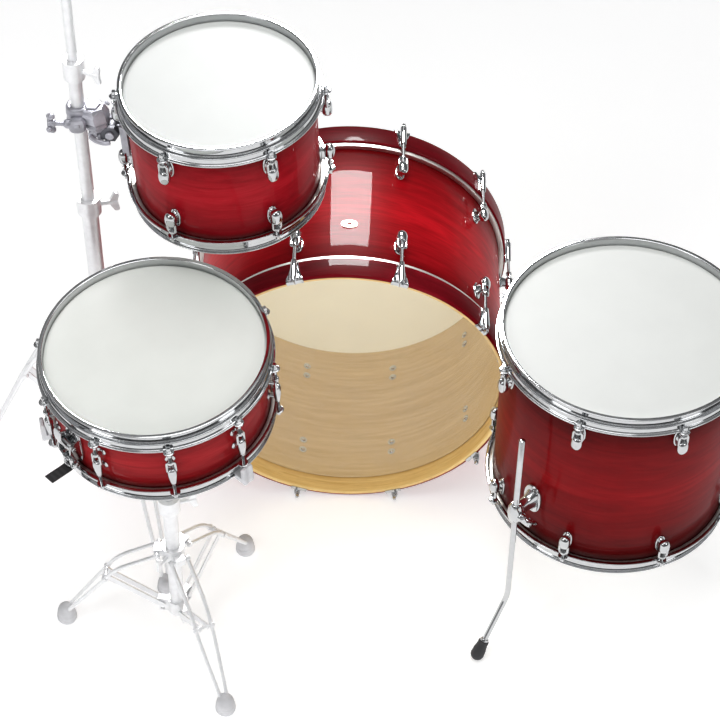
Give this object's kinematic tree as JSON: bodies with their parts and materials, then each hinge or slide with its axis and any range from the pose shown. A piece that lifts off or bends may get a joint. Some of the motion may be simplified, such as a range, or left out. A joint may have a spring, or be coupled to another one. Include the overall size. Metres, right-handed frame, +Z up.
{
  "type": "acoustic drum kit",
  "caption": "Acoustic drum kit: bass drum on spurs, tom and snare on adjustable tripod stands, floor tom on sliding legs, tensioned heads.",
  "frame": {"origin": "on the floor, under the middle of the kit's bounding box", "axes": "+Z up, +X to the drummer's right, +Y the way the drummer faces, from the pedal side of the bass drum to its front"},
  "size_m": [1.5135, 0.9237, 1.242],
  "materials": {
    "shell_lacquer": "gloss cherry lacquer over maple, darker towards the edges",
    "hoop_lacquer": "gloss cherry lacquer, natural inside",
    "chrome": "polished",
    "coated_film": "sprayed matt coating",
    "clear_film": "clear",
    "cream_film": "matt coating",
    "stand_steel": "satin plated",
    "cast_grey": "satin grey casting",
    "wire_steel": "bright wire",
    "badge_metal": "satin"
  },
  "bodies": {
    "kit": {"bass_shell": "shell_lacquer", "bass_hoops": "hoop_lacquer", "bass_batter_head": "clear_film", "bass_front_head": "cream_film", "bass_lugs": "chrome", "bass_claws": "chrome", "bass_tension_rods": "chrome", "bass_vent_badge": "badge_metal", "bass_spur_brackets": "chrome", "floor_tom_shell": "shell_lacquer", "floor_tom_hoops": "chrome", "floor_tom_heads": "coated_film", "floor_tom_lugs": "chrome", "floor_tom_tension_rods": "chrome", "floor_tom_leg_brackets": "chrome", "snare_stand_base_tube": "stand_steel", "tom_stand_base_tube": "stand_steel"},
    "bass_spur_left": {"bass_spur_left": "chrome"},
    "bass_spur_right": {"bass_spur_right": "chrome"},
    "floor_tom_leg_1": {"floor_tom_leg_1": "chrome"},
    "floor_tom_leg_2": {"floor_tom_leg_2": "chrome"},
    "floor_tom_leg_3": {"floor_tom_leg_3": "chrome"},
    "snare_stand_collar": {"snare_stand_collar": "stand_steel"},
    "snare_stand_leg_1": {"snare_stand_leg_1": "stand_steel"},
    "snare_stand_brace_1": {"snare_stand_brace_1": "stand_steel"},
    "snare_stand_leg_2": {"snare_stand_leg_2": "stand_steel"},
    "snare_stand_brace_2": {"snare_stand_brace_2": "stand_steel"},
    "snare_stand_leg_3": {"snare_stand_leg_3": "stand_steel"},
    "snare_stand_brace_3": {"snare_stand_brace_3": "stand_steel"},
    "tom_stand_collar": {"tom_stand_collar": "stand_steel"},
    "tom_stand_leg_1": {"tom_stand_leg_1": "stand_steel"},
    "tom_stand_brace_1": {"tom_stand_brace_1": "stand_steel"},
    "tom_stand_leg_2": {"tom_stand_leg_2": "stand_steel"},
    "tom_stand_brace_2": {"tom_stand_brace_2": "stand_steel"},
    "tom_stand_leg_3": {"tom_stand_leg_3": "stand_steel"},
    "tom_stand_brace_3": {"tom_stand_brace_3": "stand_steel"},
    "snare_stand_upper_tube": {"snare_stand_upper_tube": "stand_steel"},
    "snare_stand_basket_hub": {"snare_stand_basket_hub": "stand_steel"},
    "snare_stand_basket_arm_1": {"snare_stand_basket_arm_1": "stand_steel"},
    "snare_stand_basket_arm_2": {"snare_stand_basket_arm_2": "stand_steel"},
    "snare_stand_basket_arm_3": {"snare_stand_basket_arm_3": "stand_steel"},
    "snare_drum": {"snare_shell": "shell_lacquer", "snare_hoops": "chrome", "snare_heads": "coated_film", "snare_lugs": "chrome", "snare_tension_rods": "chrome", "snare_strainer": "chrome", "snare_butt_plate": "chrome"},
    "snare_throw_lever": {"snare_throw_lever": "chrome"},
    "snare_wires": {"snare_wires": "wire_steel"},
    "tom_stand_mid_tube": {"tom_stand_mid_tube": "stand_steel"},
    "tom_stand_upper_tube": {"tom_stand_upper_tube": "stand_steel"},
    "tom_stand_clamp": {"tom_stand_clamp": "cast_grey"},
    "tom_drum": {"tom_stand_tilter": "cast_grey", "tom_mount_bracket": "cast_grey", "tom_shell": "shell_lacquer", "tom_hoops": "chrome", "tom_heads": "coated_film", "tom_lugs": "chrome", "tom_tension_rods": "chrome"}
  },
  "joints": [
    {"name": "bass_spur_left_fold", "type": "hinge", "parent": "kit", "child": "bass_spur_left", "pos_m": [-0.36844, 0.30414, 0.1954], "axis": [0.9992, 0.0396, 0], "range_deg": [0, 70]},
    {"name": "bass_spur_right_fold", "type": "hinge", "parent": "kit", "child": "bass_spur_right", "pos_m": [0.27506, 0.32965, 0.1954], "axis": [0.9992, 0.0396, 0], "range_deg": [0, 70]},
    {"name": "floor_tom_leg_1_slide", "type": "slide", "parent": "kit", "child": "floor_tom_leg_1", "axis": [0, 0, 1], "range_m": [-0.05, 0.1]},
    {"name": "floor_tom_leg_2_slide", "type": "slide", "parent": "kit", "child": "floor_tom_leg_2", "axis": [0, 0, 1], "range_m": [-0.05, 0.1]},
    {"name": "floor_tom_leg_3_slide", "type": "slide", "parent": "kit", "child": "floor_tom_leg_3", "axis": [0, 0, 1], "range_m": [-0.05, 0.1]},
    {"name": "snare_stand_collar_slide", "type": "slide", "parent": "kit", "child": "snare_stand_collar", "axis": [0, 0, 1], "range_m": [0, 0.084]},
    {"name": "snare_stand_leg_1_hinge", "type": "hinge", "parent": "snare_stand_collar", "child": "snare_stand_leg_1", "pos_m": [-0.33908, -0.26892, 0.214], "axis": [0, -1, 0], "range_deg": [0, 36.22]},
    {"name": "snare_stand_brace_1_hinge", "type": "hinge", "parent": "snare_stand_leg_1", "child": "snare_stand_brace_1", "pos_m": [-0.43438, -0.26892, 0.14], "axis": [0, -1, 0], "range_deg": [-72.44, 0]},
    {"name": "snare_stand_leg_2_hinge", "type": "hinge", "parent": "snare_stand_collar", "child": "snare_stand_leg_2", "pos_m": [-0.29903, -0.29204, 0.214], "axis": [0.866, 0.5, 0], "range_deg": [0, 36.22]},
    {"name": "snare_stand_brace_2_hinge", "type": "hinge", "parent": "snare_stand_leg_2", "child": "snare_stand_brace_2", "pos_m": [-0.25138, -0.37457, 0.14], "axis": [0.866, 0.5, 0], "range_deg": [-72.44, 0]},
    {"name": "snare_stand_leg_3_hinge", "type": "hinge", "parent": "snare_stand_collar", "child": "snare_stand_leg_3", "pos_m": [-0.29903, -0.2458, 0.214], "axis": [-0.866, 0.5, 0], "range_deg": [0, 36.22]},
    {"name": "snare_stand_brace_3_hinge", "type": "hinge", "parent": "snare_stand_leg_3", "child": "snare_stand_brace_3", "pos_m": [-0.25138, -0.16326, 0.14], "axis": [-0.866, 0.5, 0], "range_deg": [-72.44, 0]},
    {"name": "tom_stand_collar_slide", "type": "slide", "parent": "kit", "child": "tom_stand_collar", "axis": [0, 0, 1], "range_m": [0, 0.08234]},
    {"name": "tom_stand_leg_1_hinge", "type": "hinge", "parent": "tom_stand_collar", "child": "tom_stand_leg_1", "pos_m": [-0.49261, 0.05605, 0.425], "axis": [-0.0698, -0.9976, 0], "range_deg": [0, 29.22]},
    {"name": "tom_stand_brace_1_hinge", "type": "hinge", "parent": "tom_stand_leg_1", "child": "tom_stand_brace_1", "pos_m": [-0.61252, 0.06444, 0.2875], "axis": [-0.0698, -0.9976, 0], "range_deg": [-58.44, 0]},
    {"name": "tom_stand_leg_2_hinge", "type": "hinge", "parent": "tom_stand_collar", "child": "tom_stand_leg_2", "pos_m": [-0.45197, 0.02864, 0.425], "axis": [0.8988, 0.4384, 0], "range_deg": [0, 29.22]},
    {"name": "tom_stand_brace_2_hinge", "type": "hinge", "parent": "tom_stand_leg_2", "child": "tom_stand_brace_2", "pos_m": [-0.39928, -0.07939, 0.2875], "axis": [0.8988, 0.4384, 0], "range_deg": [-58.44, 0]},
    {"name": "tom_stand_leg_3_hinge", "type": "hinge", "parent": "tom_stand_collar", "child": "tom_stand_leg_3", "pos_m": [-0.44855, 0.07754, 0.425], "axis": [-0.829, 0.5592, 0], "range_deg": [0, 29.22]},
    {"name": "tom_stand_brace_3_hinge", "type": "hinge", "parent": "tom_stand_leg_3", "child": "tom_stand_brace_3", "pos_m": [-0.38134, 0.17719, 0.2875], "axis": [-0.829, 0.5592, 0], "range_deg": [-58.44, 0]},
    {"name": "snare_height_slide", "type": "slide", "parent": "kit", "child": "snare_stand_upper_tube", "axis": [0, 0, 1], "range_m": [-0.02, 0.04]},
    {"name": "snare_basket_tilt", "type": "hinge", "parent": "snare_stand_upper_tube", "child": "snare_stand_basket_hub", "pos_m": [-0.31238, -0.26892, 0.42], "axis": [1, 0, 0], "range_deg": [-10, 6]},
    {"name": "snare_stand_basket_arm_1_hinge", "type": "hinge", "parent": "snare_stand_basket_hub", "child": "snare_stand_basket_arm_1", "pos_m": [-0.33244, -0.21328, 0.46376], "axis": [0.3102, -0.9483, -0.0677], "range_deg": [0, 40]},
    {"name": "snare_stand_basket_arm_2_hinge", "type": "hinge", "parent": "snare_stand_basket_hub", "child": "snare_stand_basket_arm_2", "pos_m": [-0.30195, -0.21978, 0.46428], "axis": [0.6677, 0.7396, 0.0846], "range_deg": [0, 40]},
    {"name": "snare_stand_basket_arm_3_hinge", "type": "hinge", "parent": "snare_stand_basket_hub", "child": "snare_stand_basket_arm_3", "pos_m": [-0.31162, -0.19022, 0.46639], "axis": [-0.9779, 0.2086, -0.017], "range_deg": [0, 40]},
    {"name": "snare_lift_off", "type": "slide", "parent": "snare_stand_basket_hub", "child": "snare_drum", "axis": [-0.0349, -0.0825, 0.996], "range_m": [0, 0.045]},
    {"name": "snare_throw_lever_hinge", "type": "hinge", "parent": "snare_drum", "child": "snare_throw_lever", "pos_m": [-0.44652, -0.36273, 0.58795], "axis": [0.7518, -0.6588, -0.0282], "range_deg": [0, 90]},
    {"name": "snare_wires_drop", "type": "slide", "parent": "snare_drum", "child": "snare_wires", "axis": [0.0349, 0.0825, -0.996], "range_m": [0, 0.0032]},
    {"name": "tom_height_slide", "type": "slide", "parent": "kit", "child": "tom_stand_mid_tube", "axis": [0, 0, 1], "range_m": [-0.03, 0.1]},
    {"name": "cymbal_height_slide", "type": "slide", "parent": "tom_stand_mid_tube", "child": "tom_stand_upper_tube", "axis": [0, 0, 1], "range_m": [-0.1, 0.15]},
    {"name": "tom_clamp_swing", "type": "hinge", "parent": "tom_stand_mid_tube", "child": "tom_stand_clamp", "pos_m": [-0.46438, 0.05408, 0.905], "axis": [0, 0, 1], "range_deg": [-12, 12]},
    {"name": "tom_tilt", "type": "hinge", "parent": "tom_stand_clamp", "child": "tom_drum", "pos_m": [-0.41438, 0.05408, 0.879], "axis": [0, 1, 0], "range_deg": [-8, 10]}
  ],
  "couplings": [
    {"joint": "snare_stand_leg_1_hinge", "follows": "snare_stand_collar_slide", "rad_per_m": 7.5215},
    {"joint": "snare_stand_brace_1_hinge", "follows": "snare_stand_collar_slide", "rad_per_m": -15.043},
    {"joint": "snare_stand_leg_2_hinge", "follows": "snare_stand_collar_slide", "rad_per_m": 7.5215},
    {"joint": "snare_stand_brace_2_hinge", "follows": "snare_stand_collar_slide", "rad_per_m": -15.043},
    {"joint": "snare_stand_leg_3_hinge", "follows": "snare_stand_collar_slide", "rad_per_m": 7.5215},
    {"joint": "snare_stand_brace_3_hinge", "follows": "snare_stand_collar_slide", "rad_per_m": -15.043},
    {"joint": "tom_stand_leg_1_hinge", "follows": "tom_stand_collar_slide", "rad_per_m": 6.1894},
    {"joint": "tom_stand_brace_1_hinge", "follows": "tom_stand_collar_slide", "rad_per_m": -12.379},
    {"joint": "tom_stand_leg_2_hinge", "follows": "tom_stand_collar_slide", "rad_per_m": 6.1894},
    {"joint": "tom_stand_brace_2_hinge", "follows": "tom_stand_collar_slide", "rad_per_m": -12.379},
    {"joint": "tom_stand_leg_3_hinge", "follows": "tom_stand_collar_slide", "rad_per_m": 6.1894},
    {"joint": "tom_stand_brace_3_hinge", "follows": "tom_stand_collar_slide", "rad_per_m": -12.379},
    {"joint": "snare_stand_basket_arm_2_hinge", "follows": "snare_stand_basket_arm_1_hinge", "ratio": 1},
    {"joint": "snare_stand_basket_arm_3_hinge", "follows": "snare_stand_basket_arm_1_hinge", "ratio": 1},
    {"joint": "snare_wires_drop", "follows": "snare_throw_lever_hinge", "m_per_rad": 0.0019}
  ]
}
